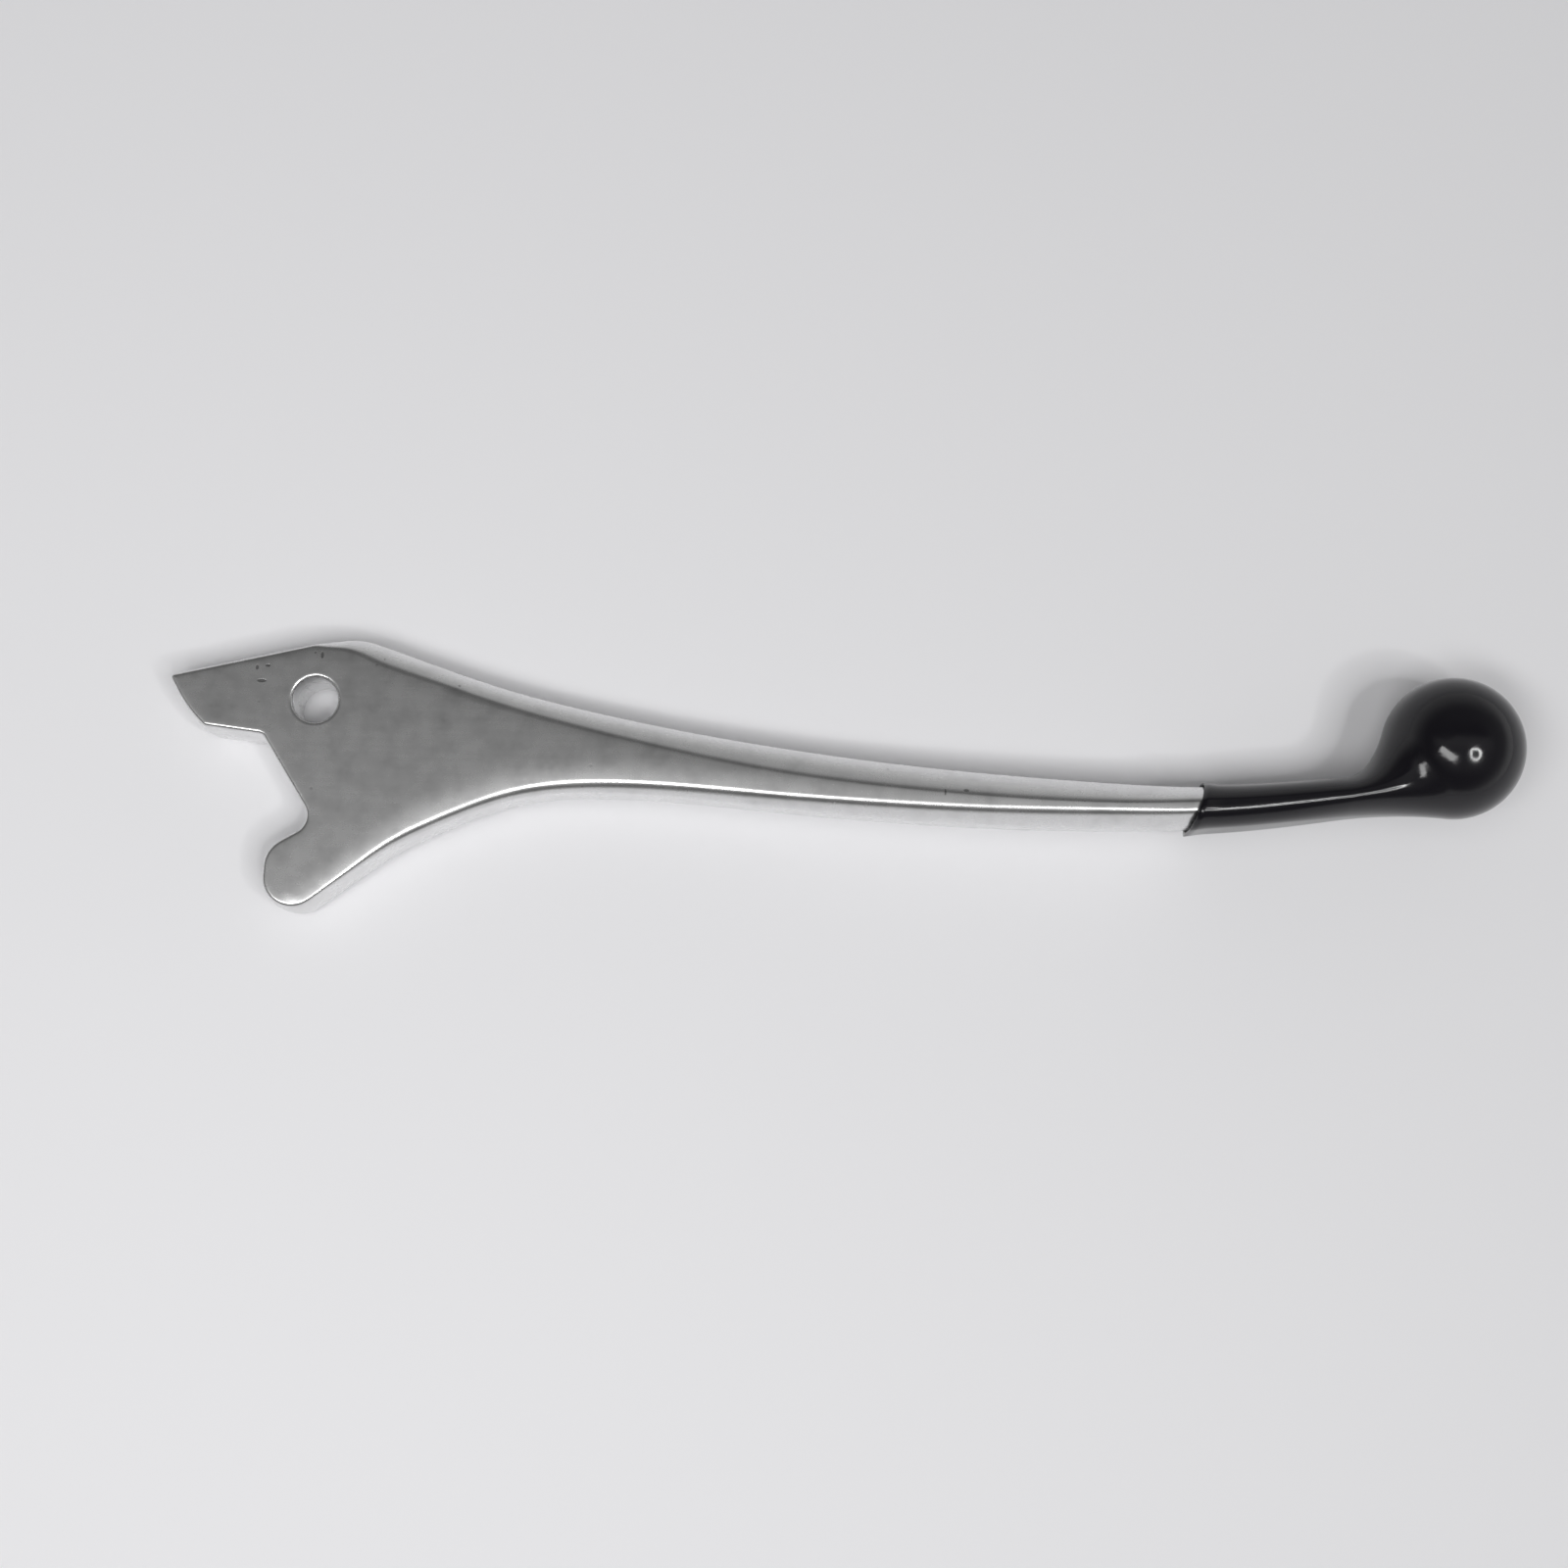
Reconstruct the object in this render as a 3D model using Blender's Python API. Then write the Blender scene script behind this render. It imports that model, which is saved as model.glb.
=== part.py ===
"""Motorcycle hand lever: a cast aluminium blade with a dip-moulded vinyl sleeve over its ball end.

The origin is the centre of the pivot bore, on the blade's mid-plane. +X runs along the lever to the
centre of the ball, +Y points to the finger side and +Z runs along the pivot axis. Sizes below are in
millimetres and are turned into metres when the vertices are made.
"""
from math import asin, atan2, ceil, cos, pi, radians, sin, tan

import bmesh
import bpy
import numpy as np
from mathutils import Vector

MM = 0.001

# ---- driving dimensions ------------------------------------------------------------------------
HEAD_THICKNESS = 9.0            # flat plate round the pivot
PIVOT_BORE = 6.4                # clears a 6 mm pivot bolt
BORE_CHAMFER = 0.4
PIVOT_TO_BALL = 160.0
BALL_DIAMETER = 20.0            # over the vinyl
VINYL_STANDOUT = 0.4            # how far the vinyl stands out from the line of the metal
MOUTH_X = 123.6                 # where the vinyl starts, on the blade's middle
MOUTH_SLANT = 2.0               # the front of the mouth is this much farther along than its back
LIP_BEAD = 0.2                  # extra standout of the vinyl at its mouth
LIP_LENGTH = 2.5
GAP = 0.3                       # between the metal and the vinyl
SEAT_DEPTH = 0.45               # the metal under the vinyl lies this much below its bare line
SEAT_LENGTH = 4.0

EDGE_RADIUS = 0.45              # broken edges of the nose, the jaw and the notch
BACK_EDGE = (1.45, 1.50)        # width and depth of the edge along the lug's back, at the blade
DRAFT = 0.35                    # the head's walls lean in by this much from the parting line
SHOULDER = 2.95                 # width of the rounded finger side, where the head meets the blade
SHOULDER_START = -0.5           # the shoulder grows from the plain edge between these two places
SHOULDER_FULL = 11.0
UPRIGHT_START = 10.0            # from here to the blade, the edges turn to run straight across
BACK_START = 1.0                # past the notch, the back's edge softens from here on
SHOULDER_CREASE = 1.15          # above 1, the shoulder meets the flat face at a soft crease

# The head's outline on the mid-plane, as corners with their radii. It runs from the blade's finger
# side over the apex, round the nose and the jaw, into the piston notch, round the lug and back to
# the blade. Its two ends are the blade's first section.
HEAD_OUTLINE = (
    (18.0, 5.65, 0.0),
    (5.3, 9.75, 9.5),           # apex
    (-21.1, 2.95, 0.8),         # tip of the nose
    (-18.1, -2.15, 20.0),       # curved face of the nose
    (-15.35, -4.6, 1.6),        # jaw
    (-7.2, -5.45, 0.8),         # inner corner, behind the jaw
    (0.6, -17.2, 2.3),          # root of the notch
    (-5.8, -21.1, 4.6),         # top of the lug
    (-5.8, -34.2, 4.4),         # end of the lug
    (12.0, -20.1, 40.0),
    (18.0, -17.05, 0.0),
)

# The blade's sections, each a row: place along X, finger side, back side, width of the rounded
# finger shoulder, width and depth of the rounded back edge, half height, crease of the shoulder.
BLADE = (
    (18.0, 5.65, -17.05, 2.95, 1.45, 1.50, 4.50, 1.15),
    (28.0, 2.75, -13.00, 3.05, 1.50, 1.60, 4.50, 1.15),
    (38.0, 0.55, -11.50, 3.25, 1.60, 1.85, 4.62, 1.15),
    (52.0, -1.90, -11.65, 3.65, 1.75, 2.35, 4.82, 1.15),
    (66.0, -3.80, -12.60, 4.00, 1.95, 3.05, 5.05, 1.15),
    (80.0, -5.25, -13.35, 3.95, 2.20, 3.90, 5.28, 1.14),
    (94.0, -6.22, -13.75, 3.80, 2.35, 4.65, 5.50, 1.12),
    (108.0, -6.85, -13.65, 3.50, 2.40, 5.20, 5.66, 1.10),
    (121.0, -7.10, -13.10, 2.95, 2.25, 5.50, 5.75, 1.06),
    (132.0, -6.65, -12.00, 2.60, 2.10, 5.60, 5.72, 1.03),
    (144.3, -5.30, -10.20, 2.40, 2.00, 5.60, 5.70, 1.02),
)
FRONT_SLOPES = (-0.325, 0.10)   # of the finger side, at the first and the last section
BACK_SLOPES = (0.477, 0.15)

# Where the neck's two sides run on to the ball, as angles about its centre, and how far each side
# holds its direction on the way.
FRONT_JOIN = radians(165.0)
BACK_JOIN = radians(266.0)
FRONT_REACH = (3.0, 5.0)
BACK_REACH = (4.8, 4.8)
NECK_SWELL = 5.0                # how late the neck's height swells towards the ball
CAP_ANGLE = radians(82.0)       # on the ball, the top strip closes the last few degrees of the arc

# ---- fineness ----------------------------------------------------------------------------------
WALL_LEVELS = 5                 # from the mid-plane to the flat face
FLAT_COLUMNS = 2                # across the flat face
BLADE_STEP = 4.5
NECK_RINGS = 8
BALL_RINGS = 11
ARC_STEP = radians(15.0)
STRAIGHT_STEP = 3.0
BORE_SIDES = 48
PROFILE_SAMPLES = 80
TURN_WEIGHT = 1.5               # how strongly tight curves draw in a profile's points

HALF = HEAD_THICKNESS / 2
METAL_BALL = BALL_DIAMETER / 2 - VINYL_STANDOUT
BALL_CENTRE = np.array((PIVOT_TO_BALL, 0.0))


# ---- curves ------------------------------------------------------------------------------------
def smooth_step(value):
    """0 below 0, 1 above 1, and an S-shaped curve between."""
    value = min(max(value, 0.0), 1.0)
    return value * value * (3 - 2 * value)


def unit(vector):
    return vector / np.hypot(vector[0], vector[1])


def spline(xs, ys, slopes=None):
    """A function for the smooth curve through the points, with set end slopes or free ends."""
    xs = np.array(xs)
    ys = np.array(ys)
    count = len(xs)
    gaps = np.diff(xs)
    rises = np.diff(ys) / gaps
    matrix = np.zeros((count, count))
    target = np.zeros(count)
    for i in range(1, count - 1):
        matrix[i, i - 1:i + 2] = gaps[i], 2 * (gaps[i - 1] + gaps[i]), gaps[i - 1]
        target[i] = 3 * (gaps[i] * rises[i - 1] + gaps[i - 1] * rises[i])
    if slopes:
        matrix[0, 0] = matrix[-1, -1] = 1.0
        target[0], target[-1] = slopes
    else:
        matrix[0, :2] = matrix[-1, -2:][::-1] = 2.0, 1.0
        target[0] = 3 * rises[0]
        target[-1] = 3 * rises[-1]
    tangents = np.linalg.solve(matrix, target)

    def curve(x):
        i = int(min(max(np.searchsorted(xs, x) - 1, 0), count - 2))
        t = (x - xs[i]) / gaps[i]
        start = ys[i] * (1 + 2 * t) * (1 - t) ** 2 + ys[i + 1] * t * t * (3 - 2 * t)
        lean = tangents[i] * t * (1 - t) ** 2 - tangents[i + 1] * t * t * (1 - t)
        return start + lean * gaps[i]
    return curve


def bezier(start, start_way, end, end_way, reach, t):
    """A point on the curve that leaves start along start_way and arrives at end along end_way."""
    first = start + unit(start_way) * reach[0]
    second = end - unit(end_way) * reach[1]
    s = 1 - t
    return s ** 3 * start + 3 * s * s * t * first + 3 * s * t * t * second + t ** 3 * end


def rounded_path(corners):
    """Points on the path through the corners, each with the normal that points to its left."""
    path = []
    places = [np.array(corner[:2]) for corner in corners]
    last_end = places[0]
    for i in range(1, len(corners)):
        way_in = unit(places[i] - places[i - 1])
        left = np.array((-way_in[1], way_in[0]))
        if i == len(corners) - 1:
            arc_start = places[i]
        else:
            way_out = unit(places[i + 1] - places[i])
            turn = atan2(way_in[0] * way_out[1] - way_in[1] * way_out[0], way_in @ way_out)
            radius = corners[i][2]
            arc_start = places[i] - way_in * radius * tan(abs(turn) / 2)
        run = arc_start - last_end
        pieces = max(1, ceil(np.hypot(run[0], run[1]) / STRAIGHT_STEP))
        path += [(last_end + run * j / pieces, left) for j in range(0 if i == 1 else 1, pieces + 1)]
        if i == len(corners) - 1:
            return path
        side = 1 if turn > 0 else -1
        centre = arc_start + left * radius * side
        steps = max(2, ceil(abs(turn) / ARC_STEP))
        for j in range(1, steps + 1):
            angle = turn * j / steps
            spun = np.array((left[0] * cos(angle) - left[1] * sin(angle),
                             left[0] * sin(angle) + left[1] * cos(angle)))
            path.append((centre - spun * radius * side, spun))
        last_end = path[-1][0]


def wall_profile(width, depth, crease, height, draft=0.0):
    """The wall's half section: (inset, z) from the outline on the mid-plane to the flat face.

    It rises straight, leaning in by draft, then rounds over by width in its last depth. A crease
    above 1 leaves the rounding short of level, so that it meets the flat face at an angle.
    """
    last = asin(1 / crease)
    across = width / (1 - cos(last))
    points = [(0.0, 0.0)]
    for j in range(PROFILE_SAMPLES + 1):
        angle = last * j / PROFILE_SAMPLES
        rise = height - depth + crease * depth * sin(angle)
        points.append((draft + across * (1 - cos(angle)), rise))
    points = np.array(points)
    steps = np.hypot(*np.diff(points, axis=0).T)
    share = steps / steps.sum()
    share[1:] += TURN_WEIGHT / PROFILE_SAMPLES
    along = np.concatenate(([0.0], np.cumsum(share)))
    wanted = np.linspace(0.0, along[-1], WALL_LEVELS + 1)
    return list(zip(np.interp(wanted, along, points[:, 0]), np.interp(wanted, along, points[:, 1])))


# ---- sections ----------------------------------------------------------------------------------
def blade_curves():
    """One function of X for each column of the blade's table."""
    columns = list(zip(*BLADE))
    xs = columns[0]
    return [spline(xs, columns[1], FRONT_SLOPES), spline(xs, columns[2], BACK_SLOPES)] + [
        spline(xs, column) for column in columns[3:]]


def mouth_lean(x):
    """How far a section leans, from upright to the slant of the mouth and upright again."""
    first = BLADE[7][0]
    last = BLADE[-1][0]
    rise = smooth_step((x - first) / (MOUTH_X - first))
    fall = smooth_step((x - MOUTH_X) / (last - MOUTH_X))
    return MOUTH_SLANT / 2 * rise * (1 - fall)


def blade_sections(first_x):
    """Sections of the bare metal from first_x to the neck's last row."""
    front_y, back_y, *shape = blade_curves()
    last_x = BLADE[-1][0]
    count = ceil((last_x - first_x) / BLADE_STEP)
    sections = []
    for i in range(count + 1):
        x = first_x + (last_x - first_x) * i / count
        lean = mouth_lean(x)
        shoulder, back_width, back_depth, height, crease = (curve(x) for curve in shape)
        sections.append({
            "past_mouth": x - MOUTH_X,
            "front": np.array((x + lean, front_y(x + lean))),
            "back": np.array((x - lean, back_y(x - lean))),
            "shoulder": shoulder, "back_width": back_width, "back_depth": back_depth,
            "height": height, "crease": crease, "back_crease": 1.0, "crown": 0.0,
        })
    return sections


def neck_sections(last):
    """Sections that carry the last blade section on to the ball."""
    front_end = BALL_CENTRE + METAL_BALL * np.array((cos(FRONT_JOIN), sin(FRONT_JOIN)))
    back_end = BALL_CENTRE + METAL_BALL * np.array((cos(BACK_JOIN), sin(BACK_JOIN)))
    front_way = np.array((sin(FRONT_JOIN), -cos(FRONT_JOIN)))
    back_way = np.array((-sin(BACK_JOIN), cos(BACK_JOIN)))
    ball = ball_section((BACK_JOIN - FRONT_JOIN) / 2)
    sections = []
    for i in range(1, NECK_RINGS):
        t = i / NECK_RINGS
        front = bezier(last["front"], np.array((1.0, FRONT_SLOPES[1])), front_end, front_way,
                       FRONT_REACH, t)
        back = bezier(last["back"], np.array((1.0, BACK_SLOPES[1])), back_end, back_way,
                      BACK_REACH, t)
        width = np.hypot(*(front - back))
        first_width = np.hypot(*(last["front"] - last["back"]))
        ball_width = np.hypot(*(front_end - back_end))
        share = {key: last[key] / first_width * (1 - t) + ball[key] / ball_width * t
                 for key in ("shoulder", "back_width")}
        swell = t ** NECK_SWELL
        height = last["height"] * (1 - swell) + ball["height"] * swell
        sections.append({
            "past_mouth": front[0] - MOUTH_X, "front": front, "back": back,
            "shoulder": share["shoulder"] * width, "back_width": share["back_width"] * width,
            "back_depth": height * (1 - (1 - last["back_depth"] / last["height"]) * (1 - t)),
            "height": height,
            "crease": last["crease"] * (1 - t) + ball["crease"] * t,
            "back_crease": last["back_crease"] * (1 - t) + ball["back_crease"] * t,
            "crown": ball["crown"] * swell,
        })
    return sections


def ball_section(half_angle, radius=METAL_BALL):
    """The section of the ball at an angle from the side where the neck arrives."""
    middle = (FRONT_JOIN + BACK_JOIN) / 2
    ring = radius * sin(half_angle)
    return {
        "past_mouth": PIVOT_TO_BALL - MOUTH_X,
        "front": BALL_CENTRE + radius * np.array((cos(middle - half_angle), sin(middle - half_angle))),
        "back": BALL_CENTRE + radius * np.array((cos(middle + half_angle), sin(middle + half_angle))),
        "shoulder": ring * (1 - cos(CAP_ANGLE)), "back_width": ring * (1 - cos(CAP_ANGLE)),
        "back_depth": ring * sin(CAP_ANGLE), "height": ring * sin(CAP_ANGLE),
        "crease": 1 / sin(CAP_ANGLE), "back_crease": 1 / sin(CAP_ANGLE),
        "crown": ring * (1 - sin(CAP_ANGLE)),
    }


def ball_sections(radius):
    first = (BACK_JOIN - FRONT_JOIN) / 2
    return [ball_section(first + (pi - first) * i / BALL_RINGS, radius) for i in range(BALL_RINGS)]


def offset_section(sections, i, amount):
    """Section i moved outwards by amount, at right angles to the two sides' lines."""
    before = sections[max(i - 1, 0)]
    after = sections[min(i + 1, len(sections) - 1)]
    front_way = unit(after["front"] - before["front"])
    back_way = unit(after["back"] - before["back"])
    moved = dict(sections[i])
    moved["front"] = sections[i]["front"] + amount * np.array((-front_way[1], front_way[0]))
    moved["back"] = sections[i]["back"] + amount * np.array((back_way[1], -back_way[0]))
    for key in ("shoulder", "back_width", "back_depth", "height"):
        moved[key] = sections[i][key] + amount
    return moved


def ring_points(section):
    """The section's closed ring, from the front on the mid-plane over the top to the back."""
    front = section["front"]
    back = section["back"]
    inwards = unit(back - front)
    width = np.hypot(*(back - front))
    height = section["height"]
    upper = wall_profile(section["shoulder"], height, section["crease"], height)
    fall = wall_profile(section["back_width"], section["back_depth"], section["back_crease"], height)
    left = section["shoulder"]
    right = width - section["back_width"]
    for j in range(1, FLAT_COLUMNS):
        t = j / FLAT_COLUMNS
        upper.append((left + (right - left) * t, height + section["crown"] * 4 * t * (1 - t)))
    upper += [(width - inset, z) for inset, z in reversed(fall)]
    full = upper + [(inset, -z) for inset, z in reversed(upper[1:-1])]
    return [(*(front + inwards * inset), z) for inset, z in full]


# ---- meshes ------------------------------------------------------------------------------------
def add_ring(mesh, section):
    return [mesh.verts.new(Vector(point) * MM) for point in ring_points(section)]


def bridge(mesh, first, second, closed=True):
    """A strip of quads between two rows of vertices."""
    count = len(first)
    for j in range(count if closed else count - 1):
        k = (j + 1) % count
        mesh.faces.new((first[j], first[k], second[k], second[j]))


def add_skin(mesh, rings, tip):
    """Quads along the rings, closed by a fan round the tip."""
    for first, second in zip(rings, rings[1:]):
        bridge(mesh, first, second)
    pole = mesh.verts.new(Vector(tip) * MM)
    last = rings[-1]
    for j in range(len(last)):
        mesh.faces.new((last[j], last[(j + 1) % len(last)], pole))


def ball_tip(radius):
    middle = (FRONT_JOIN + BACK_JOIN) / 2
    return (*(BALL_CENTRE - radius * np.array((cos(middle), sin(middle)))), 0.0)


def head_columns(mesh, ring):
    """The head's wall as columns of vertices, from the lower flat face to the upper one."""
    middle = len(ring) // 2
    front = [ring[j] for j in range(-WALL_LEVELS, WALL_LEVELS + 1)]
    back = [ring[middle - j] for j in range(-WALL_LEVELS, WALL_LEVELS + 1)]
    upright = BLADE[0][0]
    columns = [front]
    for place, inwards in rounded_path(HEAD_OUTLINE)[1:-1]:
        on_front = inwards[1] < 0 and place[0] > SHOULDER_START and place[1] > 0
        on_back = inwards[1] > 0 and place[0] > BACK_START
        width = depth = EDGE_RADIUS
        draft = DRAFT
        crease = 1.0
        grown = 0.0
        if on_front:
            reached = min((place[0] - SHOULDER_START) / (SHOULDER_FULL - SHOULDER_START), 1.0)
            grown = reached * (2 - reached)
            width += (SHOULDER - EDGE_RADIUS) * grown
            depth += (HALF - EDGE_RADIUS) * grown
            crease += (SHOULDER_CREASE - 1) * grown
        elif on_back:
            grown = smooth_step((place[0] - BACK_START) / (upright - BACK_START))
            width += (BACK_EDGE[0] - EDGE_RADIUS) * grown
            depth += (BACK_EDGE[1] - EDGE_RADIUS) * grown
        draft *= 1 - grown
        near = smooth_step((place[0] - UPRIGHT_START) / (upright - UPRIGHT_START))
        across = np.array((0.0, -1.0 if inwards[1] < 0 else 1.0))
        way = unit(inwards * (1 - near) + across * near)
        wall = wall_profile(width, depth, crease, HALF, draft)
        upper = [(*(place + way * inset), z) for inset, z in wall]
        lower = [(x, y, -z) for x, y, z in reversed(upper[1:])]
        columns.append([mesh.verts.new(Vector(point) * MM) for point in lower + upper])
    return columns + [back]


def add_head(mesh, ring):
    """The head's walls and its two flat faces, joined to the blade's first ring."""
    columns = head_columns(mesh, ring)
    for first, second in zip(columns, columns[1:]):
        bridge(mesh, first, second, closed=False)
    half = len(ring) // 2
    top_flat = ring[WALL_LEVELS + 1:half - WALL_LEVELS]
    bottom_flat = [ring[-WALL_LEVELS - 1 - j] for j in range(len(top_flat))]
    mesh.faces.new([column[-1] for column in columns] + top_flat[::-1])
    mesh.faces.new([column[0] for column in columns] + bottom_flat[::-1])


def finish_object(name, mesh, material):
    bmesh.ops.recalc_face_normals(mesh, faces=mesh.faces)
    data = bpy.data.meshes.new(name)
    mesh.to_mesh(data)
    mesh.free()
    data.shade_smooth()
    data.set_sharp_from_angle(angle=radians(30))
    data.materials.append(material)
    piece = bpy.data.objects.new(name, data)
    bpy.context.scene.collection.objects.link(piece)
    return piece


def bore_cutter():
    """A spool-shaped cutter for the pivot bore and the chamfers at its two mouths."""
    mesh = bmesh.new()
    radius = PIVOT_BORE / 2
    beyond = 1.0
    levels = ((HALF + beyond, radius + BORE_CHAMFER + beyond), (HALF - BORE_CHAMFER, radius))
    levels += tuple((-z, r) for z, r in reversed(levels))
    rows = []
    for z, r in levels:
        angles = [2 * pi * j / BORE_SIDES for j in range(BORE_SIDES)]
        rows.append([mesh.verts.new((r * cos(a) * MM, r * sin(a) * MM, z * MM)) for a in angles])
    for first, second in zip(rows, rows[1:]):
        bridge(mesh, first, second)
    mesh.faces.new(rows[0])
    mesh.faces.new(rows[-1])
    cutter = finish_object("pivot_bore_cutter", mesh, None)
    cutter.hide_render = True
    cutter.display_type = "WIRE"
    return cutter


# ---- materials ---------------------------------------------------------------------------------
def make_material(name, color, roughness, metallic):
    material = bpy.data.materials.new(name)
    material.use_nodes = True
    shader = material.node_tree.nodes["Principled BSDF"]
    shader.inputs["Base Color"].default_value = (*color, 1.0)
    shader.inputs["Roughness"].default_value = roughness
    shader.inputs["Metallic"].default_value = metallic
    return material


# ---- the two pieces ----------------------------------------------------------------------------
def lever_blade():
    """The one-piece casting: head, blade, neck and the ball's core."""
    bare = blade_sections(BLADE[0][0])
    bare += neck_sections(bare[-1])
    mesh = bmesh.new()
    rings = []
    for i, section in enumerate(bare):
        seated = SEAT_DEPTH * smooth_step(section["past_mouth"] / SEAT_LENGTH)
        rings.append(add_ring(mesh, offset_section(bare, i, -seated) if seated else section))
    core = METAL_BALL - SEAT_DEPTH
    rings += [add_ring(mesh, section) for section in ball_sections(core)]
    add_skin(mesh, rings, ball_tip(core))
    add_head(mesh, rings[0])
    blade = finish_object("lever_blade", mesh, make_material("polished_aluminium", (0.78, 0.78, 0.79),
                                                            0.25, 1.0))
    cut = blade.modifiers.new("pivot_bore", "BOOLEAN")
    cut.operation = "DIFFERENCE"
    cut.solver = "EXACT"
    cut.object = bore_cutter()
    return blade


def ball_end_sleeve():
    """The vinyl: a thin skin along the neck and round the ball, open at its mouth."""
    bare = blade_sections(MOUTH_X)
    bare += neck_sections(bare[-1])
    mesh = bmesh.new()
    outer = []
    inner = []
    for i, section in enumerate(bare):
        past = section["past_mouth"]
        bead = LIP_BEAD * (1 - smooth_step(past / LIP_LENGTH))
        seated = SEAT_DEPTH * smooth_step(past / SEAT_LENGTH)
        outer.append(add_ring(mesh, offset_section(bare, i, VINYL_STANDOUT + bead)))
        inner.append(add_ring(mesh, offset_section(bare, i, GAP - seated)))
    inside = METAL_BALL - SEAT_DEPTH + GAP
    outside = BALL_DIAMETER / 2
    outer += [add_ring(mesh, section) for section in ball_sections(outside)]
    inner += [add_ring(mesh, section) for section in ball_sections(inside)]
    add_skin(mesh, outer, ball_tip(outside))
    add_skin(mesh, inner, ball_tip(inside))
    bridge(mesh, outer[0], inner[0])
    return finish_object("ball_end_sleeve", mesh, make_material("black_vinyl", (0.012, 0.012, 0.013),
                                                               0.22, 0.0))


def main():
    for old in list(bpy.data.objects):
        bpy.data.objects.remove(old, do_unlink=True)
    frame = bpy.data.objects.new("hand_lever", None)
    bpy.context.scene.collection.objects.link(frame)
    for piece in (lever_blade(), ball_end_sleeve()):
        piece.parent = frame


main()
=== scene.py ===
"""The looks of the motorcycle hand lever: a fine-surfaced casting, its vinyl sleeve and a pale studio.

Both CAD nodes are replaced by finer pieces with the same driving dimensions. Sizes are in millimetres
in the CAD frame: the origin is the centre of the pivot bore, +X runs along the lever to the centre of
the ball, +Y points to the finger side and +Z runs along the pivot axis.
"""

from math import asin, atan2, ceil, cos, pi, radians, sin, sqrt, tan

import bmesh
import bpy
import numpy as np
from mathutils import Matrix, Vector, noise
from mathutils.geometry import delaunay_2d_cdt


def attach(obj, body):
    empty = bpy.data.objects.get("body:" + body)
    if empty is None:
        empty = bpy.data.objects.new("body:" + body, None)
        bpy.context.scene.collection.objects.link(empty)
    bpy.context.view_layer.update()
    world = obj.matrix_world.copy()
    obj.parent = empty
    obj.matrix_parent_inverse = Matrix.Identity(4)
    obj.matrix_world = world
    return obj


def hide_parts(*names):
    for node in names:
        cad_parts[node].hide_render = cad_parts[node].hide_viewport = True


MM = 0.001

# ---- driving dimensions, as in the CAD ---------------------------------------------------------
HEAD_THICKNESS = 9.0            # flat plate round the pivot
PIVOT_BORE = 6.4
PIVOT_TO_BALL = 160.0
BALL_DIAMETER = 20.0            # over the vinyl
VINYL_STANDOUT = 0.4            # how far the vinyl stands out from the line of the metal
MOUTH_X = 123.6                 # where the vinyl starts, on the blade's middle
MOUTH_SLANT = 2.0               # the front of the mouth is this much farther along than its back
LIP_BEAD = 0.2                  # extra standout of the vinyl at its mouth
LIP_LENGTH = 2.5
VINYL_EDGE = (0.2, 2.2)         # the vinyl's back edge is this much wider and shallower than the metal's
VINYL_EVEN = (10.0, 27.0)       # that difference fades out between these two places past the mouth
GAP = 0.3                       # between the metal and the vinyl, away from the mouth
SEAT_DEPTH = 0.45               # the metal under the vinyl lies this much below its bare line
SEAT_LENGTH = 4.0

EDGE_RADIUS = 0.50              # broken edges of the nose, the jaw and the notch
BACK_EDGE = (1.45, 1.50)        # width and depth of the edge along the lug's back, at the blade
DRAFT = 0.27                    # the head's walls lean in by this much from the parting line
SHOULDER = 2.95                 # width of the rounded finger side, where the head meets the blade
SHOULDER_START = -0.5           # along X, the shoulder grows out of the plain edge from here
SHOULDER_FULL = 11.0            # to here
UPRIGHT_START = 10.0            # from here to the blade, the edges turn to run straight across
BACK_START = 1.0                # past the notch, the back's edge softens from here on
SHOULDER_CREASE = 1.15          # above 1, the shoulder meets the flat face at a soft crease

# The head's outline on the mid-plane, as corners with their radii. It runs from the blade's finger
# side over the apex, round the nose and the jaw, into the piston notch, round the lug and back to
# the blade. Its two ends are the blade's first section.
HEAD_OUTLINE = (
    (18.0, 5.65, 0.0),
    (5.3, 9.75, 9.5),           # apex
    (-21.1, 2.95, 0.8),         # tip of the nose
    (-18.1, -2.15, 20.0),       # curved face of the nose
    (-15.35, -4.6, 1.6),        # jaw
    (-7.2, -5.45, 0.8),         # inner corner, behind the jaw
    (0.6, -17.2, 2.3),          # root of the notch
    (-5.8, -21.1, 4.6),         # top of the lug
    (-5.8, -34.2, 4.4),         # end of the lug
    (12.0, -20.1, 40.0),
    (18.0, -17.05, 0.0),
)

# The blade's sections, each a row: place along X, finger side, back side, width of the rounded
# finger shoulder, width and depth of the rounded back edge, half height, crease of the shoulder.
BLADE = (
    (18.0, 5.65, -17.05, 2.95, 1.45, 1.50, 4.50, 1.15),
    (28.0, 2.75, -13.00, 3.05, 1.50, 1.60, 4.50, 1.15),
    (38.0, 0.55, -11.50, 3.25, 1.60, 1.85, 4.62, 1.15),
    (52.0, -1.90, -11.65, 3.65, 1.75, 2.35, 4.82, 1.15),
    (66.0, -3.80, -12.60, 4.00, 1.95, 3.05, 5.05, 1.15),
    (80.0, -5.25, -13.35, 3.95, 2.20, 3.90, 5.28, 1.14),
    (94.0, -6.22, -13.75, 3.80, 2.35, 4.65, 5.50, 1.12),
    (108.0, -6.85, -13.65, 3.50, 2.40, 5.20, 5.66, 1.10),
    (121.0, -7.10, -13.10, 2.95, 2.25, 5.50, 5.75, 1.06),
    (132.0, -6.65, -12.00, 2.60, 2.10, 5.60, 5.72, 1.03),
    (144.3, -5.30, -10.20, 2.40, 2.00, 5.60, 5.70, 1.02),
)
FRONT_SLOPES = (-0.325, 0.10)   # of the finger side, at the first and the last section
BACK_SLOPES = (0.477, 0.15)

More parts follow.
